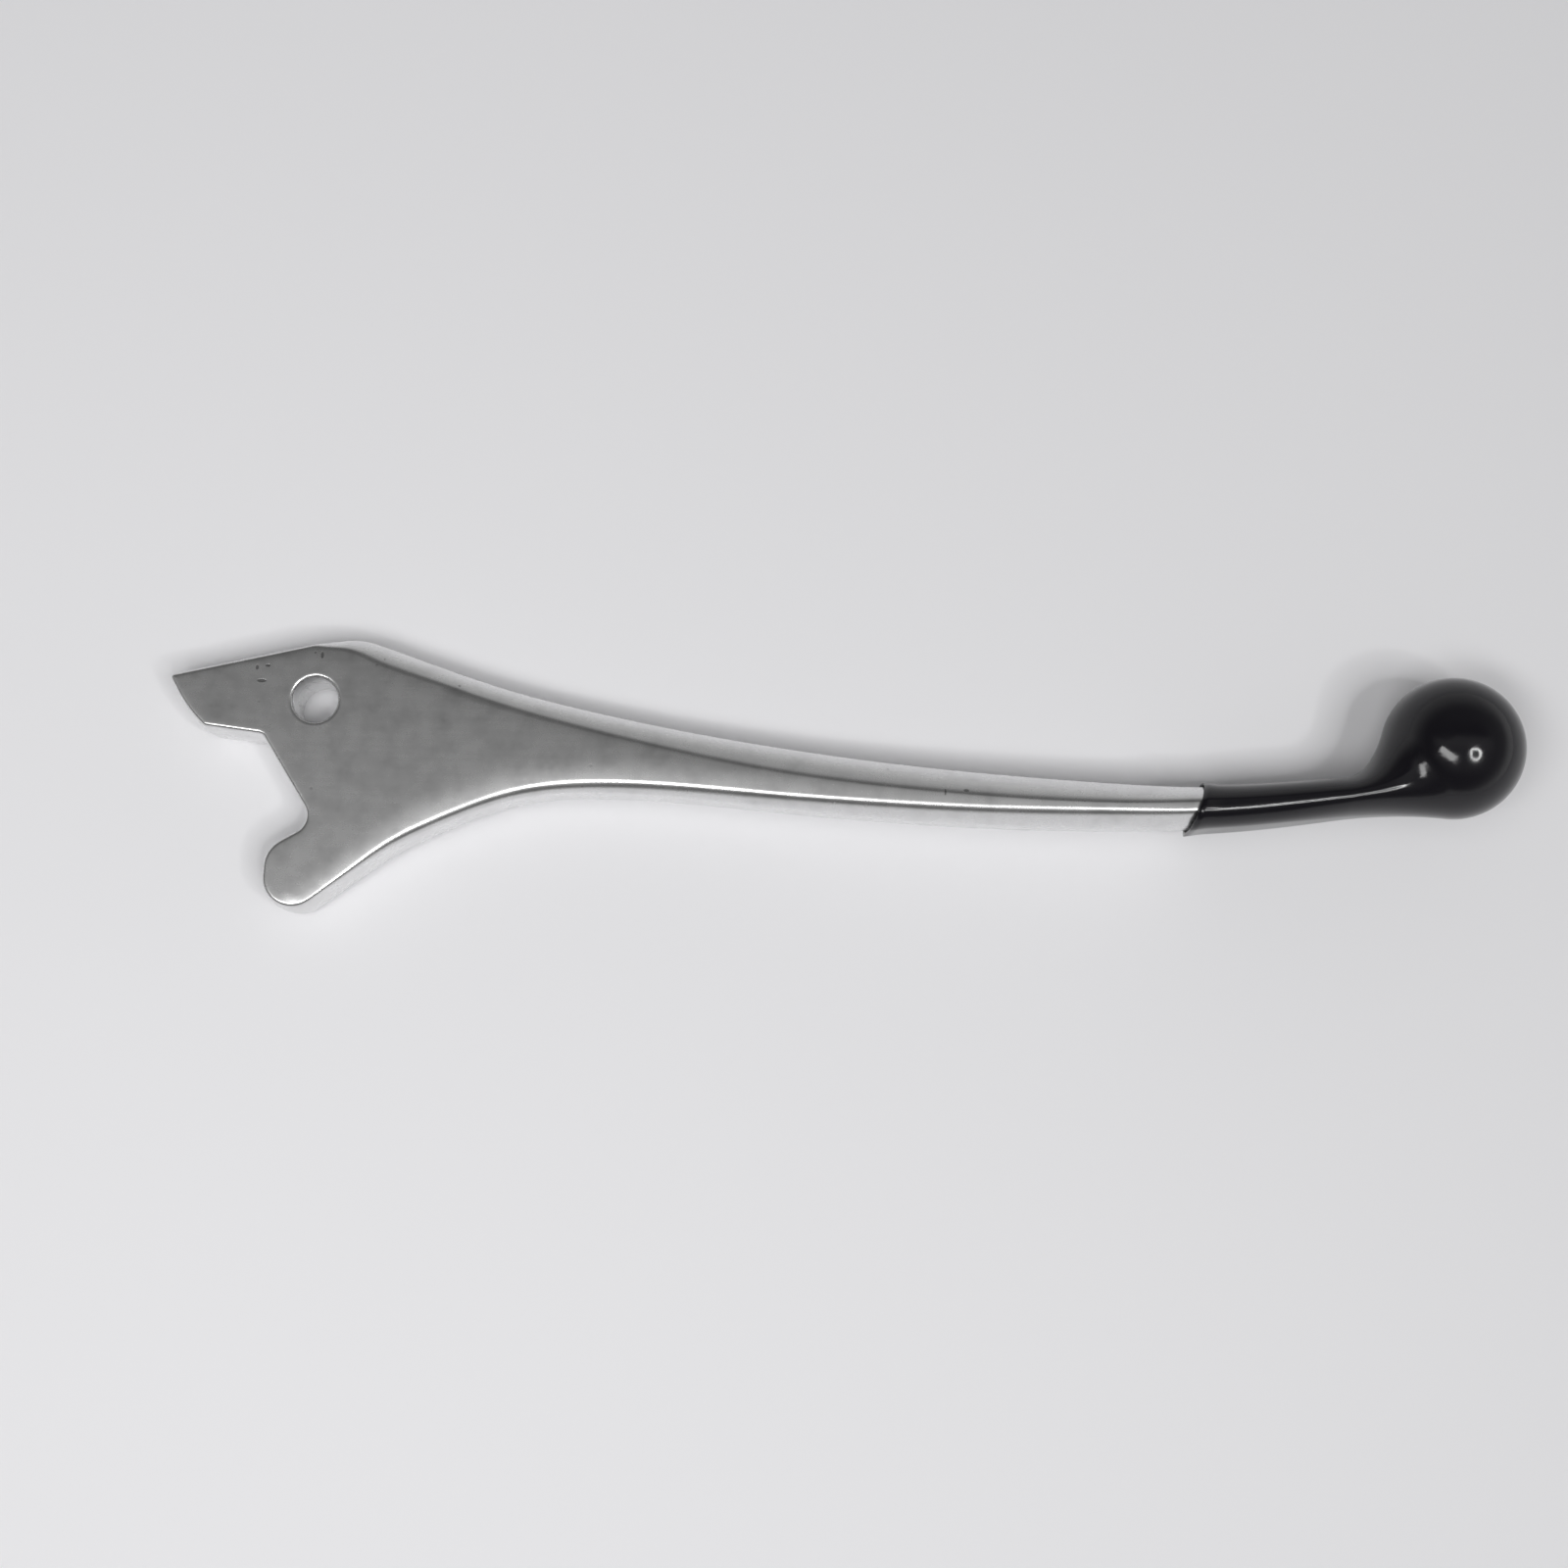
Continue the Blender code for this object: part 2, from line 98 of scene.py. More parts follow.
# Where the neck's two sides run on to the ball, as angles about its centre, and how far each side
# holds its direction on the way.
FRONT_JOIN = radians(165.0)
BACK_JOIN = radians(266.0)
FRONT_REACH = (3.0, 5.0)
BACK_REACH = (4.8, 4.8)
NECK_SWELL = 5.0                # how late the neck's height swells towards the ball
CAP_ANGLE = radians(82.0)       # on the ball, the top strip closes the last few degrees of the arc

# ---- softness of the buffed surface ------------------------------------------------------------
FACET_TILT = radians(28.0)      # of the shoulder's nearly straight part, at the crease
FACET_REACH = 0.55              # how far that part reaches, as a share of the shoulder's width
FACET_TURN = 0.6                # how far the wall holds upright, as a share of the half height
BORE_EDGE = 0.45                # radius of the bore's two mouths
CREASE_SOFTNESS = 0.25          # half width of the rounding over the shoulder's crease
# The flat faces fall away gently towards their edges. Each fall has the angle it ends at and how far
# in from the edge it starts, which along the two sides is a table of (place along X, distance).
RIM_REACH = 1.3
RIM_FALL = radians(4.0)
RIM_END = 6.0                   # the rim's own fall fades out this far before the blade
FRONT_CROWN = ((-22.0, 0.0), (-2.0, 2.0), (10.0, 5.2), (60.0, 5.4), (100.0, 4.4), (146.0, 3.0))
FRONT_FALL = radians(5.0)
BACK_CROWN = ((-8.0, 2.0), (4.0, 3.4), (18.0, 4.7), (60.0, 4.7), (100.0, 4.0), (146.0, 3.0))
BACK_FALL = radians(9.0)
WAVE_DEPTH = 0.008              # of the slight waves that buffing by hand leaves in the flat faces
WAVE_LENGTH = 11.0
VINYL_WAVES = (                 # of the vinyl's skin: depth and length
    (0.012, 6.0),               # all over
    (0.07, 2.2),                # where it has run thick, between the neck and the ball
)
PUDDLE = ((156.0, -2.0), 6.5)   # that place's centre and reach

# ---- fineness ----------------------------------------------------------------------------------
WALL_LEVELS = 18                # from the mid-plane to the flat face
FLAT_COLUMNS = 12               # across the flat face
BLADE_STEP = 1.0
NECK_RINGS = 26
BALL_RINGS = 40
STRAIGHT_STEP = 0.6
ARC_STEP = radians(9.0)
BORE_SIDES = 96
BORE_EDGE_STEPS = 6
PROFILE_SAMPLES = 240
TURN_WEIGHT = 1.5               # how strongly tight curves draw in a profile's points
FLAT_GRID = 1.0                 # spacing of the points inside the head's flat faces
GRID_ROWS = 400                 # more than the head needs; the rows beyond it are dropped
NEAR_ROWS = (0.2, 0.5, 0.95)    # rows of points this far in from the flat faces' edges
ROW_CLEARANCE = 0.16            # least distance between two points of those rows
GRID_CLEARANCE = 0.6            # least distance from a grid point to any other

# Small marks of use, real dents whose darker colour is painted shade: the centre, the length across the
# lever and the width along it.
NICKS = (
    ((-7.6, 2.4, 4.5), 0.6, 1.6),
    ((-8.4, 4.3, 4.5), 0.9, 0.5),
    ((-6.9, 4.6, 4.5), 0.5, 0.8),
    ((0.6, 6.4, 4.5), 1.2, 0.5),
    ((-0.4, 6.7, 4.5), 0.4, 0.3),
    ((9.3, 6.4, 4.4), 1.2, 0.35),
    ((78.5, -7.2, 5.1), 1.6, 0.9),
    ((88.3, -9.9, 5.3), 1.1, 0.35),
    ((91.2, -9.6, 5.3), 0.6, 0.9),
    ((112.6, -12.9, 5.2), 1.5, 0.3),
    ((113.6, -12.9, 5.2), 1.2, 0.25),
)

# ---- studio ------------------------------------------------------------------------------------
CAMERA_PLACE = (68.16, -66.80, 330.17)
CAMERA_AIM = (65.91, -8.70, 0.0)
LENS = 54.7                     # on a square 36 mm sensor
LAMP_WAY = (0.383, -0.314, 0.876)
LAMP_DISTANCE = 8000.0
LAMP_ANGLE = radians(8.0)       # the ring lamp's radius, seen from the lever
LAMP_TUBE = 260.0
LAMP_STRIPS = 12
LAMP_POWER = 212.0
SOFT_WAY = (-0.20, -0.36, 0.91)         # from the place the soft lamp is aimed at
SOFT_AIM = (40.0, -5.0, 0.0)
SOFT_DISTANCE = 600.0
SOFT_SIZE = (340.0, 115.0)
SOFT_POWER = 1.00
FILL_PLACE = (0.0, -60.0, 400.0)
FILL_SIZE = 300.0
FILL_POWER = 0.21
# Brightness stops of the room, as (position, brightness). The ceiling's positions go by the
# direction's Y and the walls' by its Z, from -1 at 0 to +1 at 1. The walls are at -X, +X, -Y and +Y.
CEILING = ((0.36, 0.16), (0.44, 0.30), (0.51, 0.32), (0.56, 0.25), (0.59, 0.12), (0.63, 0.06),
           (0.72, 0.07), (0.85, 0.12))
WALLS = (
    ((0.5, 0.64), (0.56, 0.54), (0.62, 0.36), (0.69, 0.16), (0.77, 0.04), (0.95, 0.06)),
    ((0.5, 0.75), (0.55, 0.75), (0.6, 0.5), (0.66, 0.18), (0.8, 0.14), (0.95, 0.3)),
    ((0.5, 0.62), (0.55, 0.50), (0.59, 0.08), (0.8, 0.06), (0.95, 0.3)),
    ((0.5, 0.60), (0.55, 0.44), (0.64, 0.38), (0.72, 0.18), (0.78, 0.1), (0.95, 0.1)),
)
ROOM_LIGHT = 1.10
FLOOR_RADIUS = 3500.0
REST_NOSE = (-20.0, 2.5, -HEAD_THICKNESS / 2)       # the lever lies on its nose, its lug and its ball
REST_LUG = (-5.5, -26.0, -HEAD_THICKNESS / 2)
SETTLE_STEPS = 20               # rounds that find the floor's slope under the three

HALF = HEAD_THICKNESS / 2
METAL_BALL = BALL_DIAMETER / 2 - VINYL_STANDOUT
BALL_CENTRE = np.array((PIVOT_TO_BALL, 0.0))


# ---- curves ------------------------------------------------------------------------------------
def smooth_step(value):
    """0 below 0, 1 above 1, and an S-shaped curve between."""
    value = np.clip(value, 0.0, 1.0)
    return value * value * (3 - 2 * value)


def unit(vector):
    return vector / np.hypot(vector[0], vector[1])


def spline(xs, ys, slopes=None):
    """A function for the smooth curve through the points, with set end slopes or free ends."""
    xs = np.array(xs)
    ys = np.array(ys)
    count = len(xs)
    gaps = np.diff(xs)
    rises = np.diff(ys) / gaps
    matrix = np.zeros((count, count))
    target = np.zeros(count)
    for i in range(1, count - 1):
        matrix[i, i - 1:i + 2] = gaps[i], 2 * (gaps[i - 1] + gaps[i]), gaps[i - 1]
        target[i] = 3 * (gaps[i] * rises[i - 1] + gaps[i - 1] * rises[i])
    if slopes:
        matrix[0, 0] = matrix[-1, -1] = 1.0
        target[0], target[-1] = slopes
    else:
        matrix[0, :2] = matrix[-1, -2:][::-1] = 2.0, 1.0
        target[0] = 3 * rises[0]
        target[-1] = 3 * rises[-1]
    tangents = np.linalg.solve(matrix, target)

    def curve(x):
        i = int(min(max(np.searchsorted(xs, x) - 1, 0), count - 2))
        t = (x - xs[i]) / gaps[i]
        start = ys[i] * (1 + 2 * t) * (1 - t) ** 2 + ys[i + 1] * t * t * (3 - 2 * t)
        lean = tangents[i] * t * (1 - t) ** 2 - tangents[i + 1] * t * t * (1 - t)
        return start + lean * gaps[i]
    return curve


def bezier(start, start_way, end, end_way, reach, t):
    """A point on the curve that leaves start along start_way and arrives at end along end_way."""
    first = start + unit(start_way) * reach[0]
    second = end - unit(end_way) * reach[1]
    s = 1 - t
    return s ** 3 * start + 3 * s * s * t * first + 3 * s * t * t * second + t ** 3 * end


def rounded_path(corners):
    """Points on the path through the corners, each with the normal that points to its left."""
    path = []
    places = [np.array(corner[:2]) for corner in corners]
    last_end = places[0]
    for i in range(1, len(corners)):
        way_in = unit(places[i] - places[i - 1])
        left = np.array((-way_in[1], way_in[0]))
        if i == len(corners) - 1:
            arc_start = places[i]
        else:
            way_out = unit(places[i + 1] - places[i])
            turn = atan2(way_in[0] * way_out[1] - way_in[1] * way_out[0], way_in @ way_out)
            radius = corners[i][2]
            arc_start = places[i] - way_in * radius * tan(abs(turn) / 2)
        run = arc_start - last_end
        pieces = max(1, ceil(np.hypot(run[0], run[1]) / STRAIGHT_STEP))
        path += [(last_end + run * j / pieces, left) for j in range(0 if i == 1 else 1, pieces + 1)]
        if i == len(corners) - 1:
            return path
        side = 1 if turn > 0 else -1
        centre = arc_start + left * radius * side
        steps = max(ceil(abs(turn) / ARC_STEP), ceil(abs(turn) * radius / STRAIGHT_STEP))
        for j in range(1, steps + 1):
            angle = turn * j / steps
            spun = np.array((left[0] * cos(angle) - left[1] * sin(angle),
                             left[0] * sin(angle) + left[1] * cos(angle)))
            path.append((centre - spun * radius * side, spun))
        last_end = path[-1][0]


def wall_profile(width, depth, crease, height, draft=0.0, facet=0.0):
    """The wall's half section: (inset, z) from the outline on the mid-plane to the flat face.

    It rises straight, leaning in by draft, then rounds over by width in its last depth. A crease
    above 1 leaves the rounding short of level, so that it meets the flat face at an angle. A facet
    of 1 turns tighter near the mid-plane and then runs almost straight up to the crease.
    """
    last = asin(1 / crease)
    across = width / (1 - cos(last))
    angles = last * np.arange(PROFILE_SAMPLES + 1) / PROFILE_SAMPLES
    insets = np.concatenate(([0.0], draft + across * (1 - np.cos(angles))))
    rises = np.concatenate(([0.0], height - depth + crease * depth * np.sin(angles)))
    if facet:
        t = np.concatenate(([0.0], np.arange(PROFILE_SAMPLES + 1) / PROFILE_SAMPLES))
        reach = width * FACET_REACH
        second = 3 * (1 - t) ** 2 * t
        third = 3 * (1 - t) * t * t
        fourth = t ** 3
        inset = third * (width - reach) + fourth * width
        rise = second * height * FACET_TURN + third * (height - reach * tan(FACET_TILT)) + fourth * height
        insets += facet * (inset - insets)
        rises += facet * (rise - rises)
    steps = np.hypot(np.diff(insets), np.diff(rises))
    share = steps / steps.sum()
    share[1:] += TURN_WEIGHT / PROFILE_SAMPLES
    along = np.concatenate(([0.0], np.cumsum(share)))
    wanted = np.linspace(0.0, along[-1], WALL_LEVELS + 1)
    return list(zip(np.interp(wanted, along, insets), np.interp(wanted, along, rises)))


def crease_slope(width, depth, crease):
    """How steeply the rounding still rises where it meets the flat face."""
    last = asin(1 / crease)
    across = width / (1 - cos(last))
    return crease * depth * cos(last) / (across * sin(last))


def distance_to(points, path):
    """Each point's distance to a path of straight steps, and the place along it as an index."""
    starts = path[:-1]
    steps = path[1:] - starts
    squares = (steps ** 2).sum(axis=1)
    offsets = points[:, None, :] - starts[None]
    shares = np.clip((offsets * steps).sum(axis=2) / squares, 0.0, 1.0)
    gaps = np.hypot(*np.moveaxis(offsets - shares[..., None] * steps, 2, 0))
    nearest = gaps.argmin(axis=1)
    rows = np.arange(len(points))
    return gaps[rows, nearest], nearest + shares[rows, nearest]


# ---- sections ----------------------------------------------------------------------------------
def blade_curves():
    """One function of X for each column of the blade's table."""
    columns = list(zip(*BLADE))
    xs = columns[0]
    return [spline(xs, columns[1], FRONT_SLOPES), spline(xs, columns[2], BACK_SLOPES)] + [
        spline(xs, column) for column in columns[3:]]


def mouth_lean(x):
    """How far a section leans, from upright to the slant of the mouth and upright again."""
    first = BLADE[7][0]
    last = BLADE[-1][0]
    rise = smooth_step((x - first) / (MOUTH_X - first))
    fall = smooth_step((x - MOUTH_X) / (last - MOUTH_X))
    return MOUTH_SLANT / 2 * rise * (1 - fall)


def blade_section(curves, x):
    """The section of the bare metal at x, measured on the blade's middle."""
    front_y, back_y, *shape = curves
    lean = mouth_lean(x)
    shoulder, back_width, back_depth, height, crease = (curve(x) for curve in shape)
    return {
        "past_mouth": x - MOUTH_X,
        "front": np.array((x + lean, front_y(x + lean))),
        "back": np.array((x - lean, back_y(x - lean))),
        "shoulder": shoulder, "back_width": back_width, "back_depth": back_depth,
        "height": height, "crease": crease, "back_crease": 1.0, "crown": 0.0,
        "facet": (crease - 1) / (SHOULDER_CREASE - 1),
    }


def blade_sections(first_x):
    """Sections of the bare metal from first_x to the neck's last row."""
    curves = blade_curves()
    last_x = BLADE[-1][0]
    count = ceil((last_x - first_x) / BLADE_STEP)
    return [blade_section(curves, x) for x in np.linspace(first_x, last_x, count + 1)]


def neck_sections(last):
    """Sections that carry the last blade section on to the ball."""
    front_end = BALL_CENTRE + METAL_BALL * np.array((cos(FRONT_JOIN), sin(FRONT_JOIN)))
    back_end = BALL_CENTRE + METAL_BALL * np.array((cos(BACK_JOIN), sin(BACK_JOIN)))
    front_way = np.array((sin(FRONT_JOIN), -cos(FRONT_JOIN)))
    back_way = np.array((-sin(BACK_JOIN), cos(BACK_JOIN)))
    ball = ball_section((BACK_JOIN - FRONT_JOIN) / 2)
    sections = []
    for i in range(1, NECK_RINGS):
        t = i / NECK_RINGS
        front = bezier(last["front"], np.array((1.0, FRONT_SLOPES[1])), front_end, front_way,
                       FRONT_REACH, t)
        back = bezier(last["back"], np.array((1.0, BACK_SLOPES[1])), back_end, back_way,
                      BACK_REACH, t)
        width = np.hypot(*(front - back))
        first_width = np.hypot(*(last["front"] - last["back"]))
        ball_width = np.hypot(*(front_end - back_end))
        share = {key: last[key] / first_width * (1 - t) + ball[key] / ball_width * t
                 for key in ("shoulder", "back_width")}
        swell = t ** NECK_SWELL
        height = last["height"] * (1 - swell) + ball["height"] * swell
        sections.append({
            "past_mouth": front[0] - MOUTH_X, "front": front, "back": back,
            "shoulder": share["shoulder"] * width, "back_width": share["back_width"] * width,
            "back_depth": height * (1 - (1 - last["back_depth"] / last["height"]) * (1 - t)),
            "height": height,
            "crease": last["crease"] * (1 - t) + ball["crease"] * t,
            "back_crease": last["back_crease"] * (1 - t) + ball["back_crease"] * t,
            "crown": ball["crown"] * swell, "facet": last["facet"] * (1 - smooth_step(2 * t)),
        })
    return sections


def ball_section(half_angle, radius=METAL_BALL):
    """The section of the ball at an angle from the side where the neck arrives."""
    middle = (FRONT_JOIN + BACK_JOIN) / 2
    ring = radius * sin(half_angle)
    return {
        "past_mouth": PIVOT_TO_BALL - MOUTH_X,
        "front": BALL_CENTRE + radius * np.array((cos(middle - half_angle), sin(middle - half_angle))),
        "back": BALL_CENTRE + radius * np.array((cos(middle + half_angle), sin(middle + half_angle))),
        "shoulder": ring * (1 - cos(CAP_ANGLE)), "back_width": ring * (1 - cos(CAP_ANGLE)),
        "back_depth": ring * sin(CAP_ANGLE), "height": ring * sin(CAP_ANGLE),
        "crease": 1 / sin(CAP_ANGLE), "back_crease": 1 / sin(CAP_ANGLE),
        "crown": ring * (1 - sin(CAP_ANGLE)), "facet": 0.0,
    }


def ball_sections(radius):
    first = (BACK_JOIN - FRONT_JOIN) / 2
    return [ball_section(first + (pi - first) * i / BALL_RINGS, radius) for i in range(BALL_RINGS)]


def offset_section(sections, i, amount):
    """Section i moved outwards by amount, at right angles to the two sides' lines."""
    before = sections[max(i - 1, 0)]
    after = sections[min(i + 1, len(sections) - 1)]
    front_way = unit(after["front"] - before["front"])
    back_way = unit(after["back"] - before["back"])
    moved = dict(sections[i])
    moved["front"] = sections[i]["front"] + amount * np.array((-front_way[1], front_way[0]))
    moved["back"] = sections[i]["back"] + amount * np.array((back_way[1], -back_way[0]))
    for key in ("shoulder", "back_width", "back_depth", "height"):
        moved[key] = sections[i][key] + amount
    return moved


def ring_points(section):
    """The section's closed ring, from the front on the mid-plane over the top to the back."""
    front = section["front"]
    back = section["back"]
    inwards = unit(back - front)
    width = np.hypot(*(back - front))
    height = section["height"]
    upper = wall_profile(section["shoulder"], height, section["crease"], height,
                         facet=section["facet"])
    fall = wall_profile(section["back_width"], section["back_depth"], section["back_crease"], height)
    left = section["shoulder"]
    right = width - section["back_width"]
    for j in range(1, FLAT_COLUMNS):
        t = (1 - cos(pi * j / FLAT_COLUMNS)) / 2
        upper.append((left + (right - left) * t, height + section["crown"] * 4 * t * (1 - t)))
    upper += [(width - inset, z) for inset, z in reversed(fall)]
    full = upper + [(inset, -z) for inset, z in reversed(upper[1:-1])]
    return [(*(front + inwards * inset), z) for inset, z in full]


# ---- meshes ------------------------------------------------------------------------------------
def add_ring(mesh, section):
    return [mesh.verts.new(point) for point in ring_points(section)]


def bridge(mesh, first, second, closed=True):
    """A strip of quads between two rows of vertices."""
    count = len(first)
    for j in range(count if closed else count - 1):
        k = (j + 1) % count
        mesh.faces.new((first[j], first[k], second[k], second[j]))


def add_skin(mesh, rings, tip):
    """Quads along the rings, closed by a fan round the tip."""
    for first, second in zip(rings, rings[1:]):
        bridge(mesh, first, second)
    pole = mesh.verts.new(tip)
    last = rings[-1]
    for j in range(len(last)):
        mesh.faces.new((last[j], last[(j + 1) % len(last)], pole))


def ball_tip(radius):
    middle = (FRONT_JOIN + BACK_JOIN) / 2
    return (*(BALL_CENTRE - radius * np.array((cos(middle), sin(middle)))), 0.0)


def head_columns(mesh, ring):
    """The head's wall as columns of vertices, from the lower flat face to the upper one.

    It also gives the way inwards from each column, and how steep its crease is.
    """
    middle = len(ring) // 2
    front = [ring[j] for j in range(-WALL_LEVELS, WALL_LEVELS + 1)]
    back = [ring[middle - j] for j in range(-WALL_LEVELS, WALL_LEVELS + 1)]
    upright = BLADE[0][0]
    full_slope = crease_slope(SHOULDER, HALF, SHOULDER_CREASE)
    columns = [front]
    ways = [np.array((0.0, -1.0))]
    slopes = [full_slope]
    for place, inwards in rounded_path(HEAD_OUTLINE)[1:-1]:
        on_front = inwards[1] < 0 and place[0] > SHOULDER_START and place[1] > 0
        on_back = inwards[1] > 0 and place[0] > BACK_START
        width = depth = EDGE_RADIUS
        draft = DRAFT
        crease = 1.0
        grown = 0.0
        if on_front:
            reached = min((place[0] - SHOULDER_START) / (SHOULDER_FULL - SHOULDER_START), 1.0)
            grown = reached * (2 - reached)
            width += (SHOULDER - EDGE_RADIUS) * grown
            depth += (HALF - EDGE_RADIUS) * grown
            crease += (SHOULDER_CREASE - 1) * grown
        elif on_back:
            grown = smooth_step((place[0] - BACK_START) / (upright - BACK_START))
            width += (BACK_EDGE[0] - EDGE_RADIUS) * grown
            depth += (BACK_EDGE[1] - EDGE_RADIUS) * grown
        draft *= 1 - grown
        turned = smooth_step((place[0] - UPRIGHT_START) / (upright - UPRIGHT_START))
        across = np.array((0.0, -1.0 if inwards[1] < 0 else 1.0))
        way = unit(inwards * (1 - turned) + across * turned)
        wall = wall_profile(width, depth, crease, HALF, draft, grown if on_front else 0.0)
        upper = [(*(place + way * inset), z) for inset, z in wall]
        lower = [(x, y, -z) for x, y, z in reversed(upper[1:])]
        columns.append([mesh.verts.new(point) for point in lower + upper])
        ways.append(way)
        slopes.append(crease_slope(width, depth, crease) if on_front else 0.0)
    return columns + [back], ways + [np.array((0.0, 1.0))], slopes + [0.0]


def inside(points, loop):
    """Which of the points lie inside the closed loop."""
    ahead = np.roll(loop, -1, axis=0)
    x, y = points[:, None, 0], points[:, None, 1]
    spans = (loop[:, 1] > y) != (ahead[:, 1] > y)
    rise = np.where(ahead[:, 1] == loop[:, 1], 1.0, ahead[:, 1] - loop[:, 1])
    crossings = loop[:, 0] + (y - loop[:, 1]) * (ahead[:, 0] - loop[:, 0]) / rise
    return (spans & (x < crossings)).sum(axis=1) % 2 == 1


def flat_points(border, ways, hole):
    """Points inside the flat face: rows along its border and round the hole, then an even grid."""
    low = border.min(axis=0)
    high = border.max(axis=0)
    rows = [border[:len(ways)] + np.array(ways) * inset for inset in NEAR_ROWS]
    rows += [hole * (1 + inset / np.hypot(*hole[0])) for inset in NEAR_ROWS]
    heights = np.arange(GRID_ROWS) * FLAT_GRID * sqrt(3) / 2 + low[1]
    columns = [np.column_stack((np.full(GRID_ROWS, x), heights))
               for x in np.arange(low[0], high[0], FLAT_GRID)]
    grid = np.concatenate(columns)
    grid[::2, 0] += FLAT_GRID / 2
    kept = np.zeros((0, 2))
    edges = np.concatenate((border, border[:1]))
    rim = np.concatenate((hole, hole[:1]))
    for row, spacing in [(row, ROW_CLEARANCE) for row in rows] + [(grid, GRID_CLEARANCE)]:
        row = row[row[:, 1] < high[1]]
        row = row[inside(row, border) & ~inside(row, hole)]
        row = row[distance_to(row, edges)[0] > spacing]
        row = row[distance_to(row, rim)[0] > spacing]
        for point in row:
            if len(kept) == 0 or np.hypot(*(kept - point).T).min() > spacing:
                kept = np.vstack((kept, point))
    return kept


def add_flat_face(mesh, border, hole, extra, z):
    """Triangles between the border, the hole and the extra points, at height z."""
    verts = border + hole + [mesh.verts.new((*point, z)) for point in extra]
    flat = [Vector(vert.co[:2]) for vert in verts]
    edges = [(i, (i + 1) % len(border)) for i in range(len(border))]
    edges += [(len(border) + i, len(border) + (i + 1) % len(hole)) for i in range(len(hole))]
    points, _, faces, originals, *_ = delaunay_2d_cdt(flat, edges, [], 1, 1e-6)
    reach = PIVOT_BORE / 2 + BORE_EDGE
    for face in faces:
        centre = sum((points[i] for i in face), Vector((0.0, 0.0))) / len(face)
        if centre.length > reach:
            mesh.faces.new([verts[originals[i][0]] for i in face])


def bore_rings(mesh):
    """The bore's wall as rings, from its rounded upper mouth to the lower one."""
    radius = PIVOT_BORE / 2
    profile = []
    for j in range(BORE_EDGE_STEPS + 1):
        angle = pi / 2 * j / BORE_EDGE_STEPS
        profile.append((radius + BORE_EDGE * (1 - sin(angle)), HALF - BORE_EDGE * (1 - cos(angle))))
    profile += [(r, -z) for r, z in reversed(profile)]
    angles = [2 * pi * j / BORE_SIDES for j in range(BORE_SIDES)]
    rings = [[mesh.verts.new((r * cos(a), r * sin(a), z)) for a in angles] for r, z in profile]
    for first, second in zip(rings, rings[1:]):
        bridge(mesh, first, second)
    return rings


def add_head(mesh, ring):
    """The head's walls, its bore and its two flat faces. It gives the crease's line and slopes."""
    columns, ways, slopes = head_columns(mesh, ring)
    for first, second in zip(columns, columns[1:]):
        bridge(mesh, first, second, closed=False)
    bore = bore_rings(mesh)
    half = len(ring) // 2
    top_flat = ring[WALL_LEVELS + 1:half - WALL_LEVELS]
    bottom_flat = [ring[-WALL_LEVELS - 1 - j] for j in range(len(top_flat))]
    top = [column[-1] for column in columns] + top_flat[::-1]
    bottom = [column[0] for column in columns] + bottom_flat[::-1]
    outline = np.array([vert.co[:2] for vert in top])
    hole = np.array([vert.co[:2] for vert in bore[0]])
    extra = flat_points(outline, ways, hole)
    add_flat_face(mesh, top, bore[0], extra, HALF)
    add_flat_face(mesh, bottom, bore[-1], extra, -HALF)
    creased = [i for i, slope in enumerate(slopes) if slope > 0]
    return outline[creased], [slopes[i] for i in creased]


def side_lines():
    """The finger side's line and the back's line on the mid-plane, from the nose and the lug on."""
    front_y, back_y, *_ = blade_curves()
    xs = np.arange(BLADE[0][0] + BLADE_STEP, BLADE[-1][0] + 1.0, BLADE_STEP)
    outline = [place for place, _ in rounded_path(HEAD_OUTLINE)]
    nose = min(range(len(outline)), key=lambda i: outline[i][0])
    lug = min(range(len(outline)), key=lambda i: outline[i][1])
    front = outline[:nose + 1][::-1] + [np.array((x, front_y(x))) for x in xs]
    back = outline[lug:] + [np.array((x, back_y(x))) for x in xs]
    return np.array(front), np.array(back), np.array(outline)


def fall_off(distance, reach, angle):
    """How far a surface has dropped at a distance from an edge, if it turns down within reach."""
    reach = np.maximum(reach, 1e-3)
    return tan(angle) * reach / 2 * np.clip(1 - distance / reach, 0.0, None) ** 2


def soften(mesh, crease_line, slopes):
    """Buffs the casting: the flat faces fall gently to their edges, and the crease is rounded."""
    points = np.array([vert.co for vert in mesh.verts])
    flat = points[:, :2]
    xs = points[:, 0]
    front, back, outline = side_lines()
    reach = np.interp(xs, *zip(*FRONT_CROWN))
    drop = fall_off(distance_to(flat, front)[0], reach, FRONT_FALL)
    reach = np.interp(xs, *zip(*BACK_CROWN))
    drop += fall_off(distance_to(flat, back)[0], reach, BACK_FALL)
    rim = distance_to(flat, outline)[0] + np.maximum(xs - (BLADE[0][0] - RIM_END), 0.0)
    drop += fall_off(rim, RIM_REACH, RIM_FALL)
    near, place = distance_to(flat, crease_line)
    slope = np.interp(place, np.arange(len(slopes)), slopes)
    drop += slope / (4 * CREASE_SOFTNESS) * np.clip(CREASE_SOFTNESS - near, 0.0, None) ** 2
    for vert, z, amount in zip(mesh.verts, points[:, 2], drop):
        wave = noise.noise(Vector(vert.co) / WAVE_LENGTH) * WAVE_DEPTH if abs(z) > HALF / 2 else 0.0
        share = min(abs(z) / HALF, 1.0) ** 2
        vert.co.z = z + (wave - amount * np.sign(z)) * share


